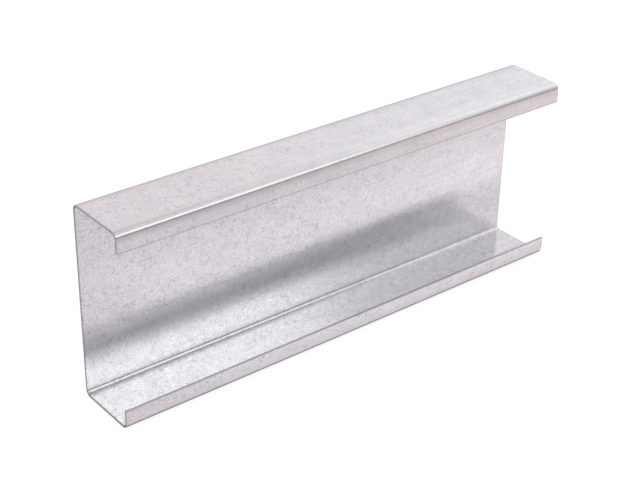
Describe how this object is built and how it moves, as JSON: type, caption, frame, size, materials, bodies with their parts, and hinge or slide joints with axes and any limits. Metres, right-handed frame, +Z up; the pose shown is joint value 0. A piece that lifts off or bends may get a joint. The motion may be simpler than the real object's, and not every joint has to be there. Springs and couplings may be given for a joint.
{
  "type": "c purlin",
  "caption": "Lipped C-section purlin: a short length of cold-formed galvanised steel channel with an upright web, two flanges and inturned lips.",
  "frame": {"origin": "middle of the footprint, on the outer face of the bottom flange", "axes": "+X along the length, +Y from the mouth towards the web's outer face, +Z up the web"},
  "size_m": [0.53, 0.07, 0.2],
  "materials": {
    "galvanised_steel": "hot-dip galvanised strip: pale satin zinc with fine mottled spangle, bright along the bends, darker bare steel on the cut ends"
  },
  "bodies": {
    "root": {"c_purlin": "galvanised_steel"}
  },
  "joints": []
}
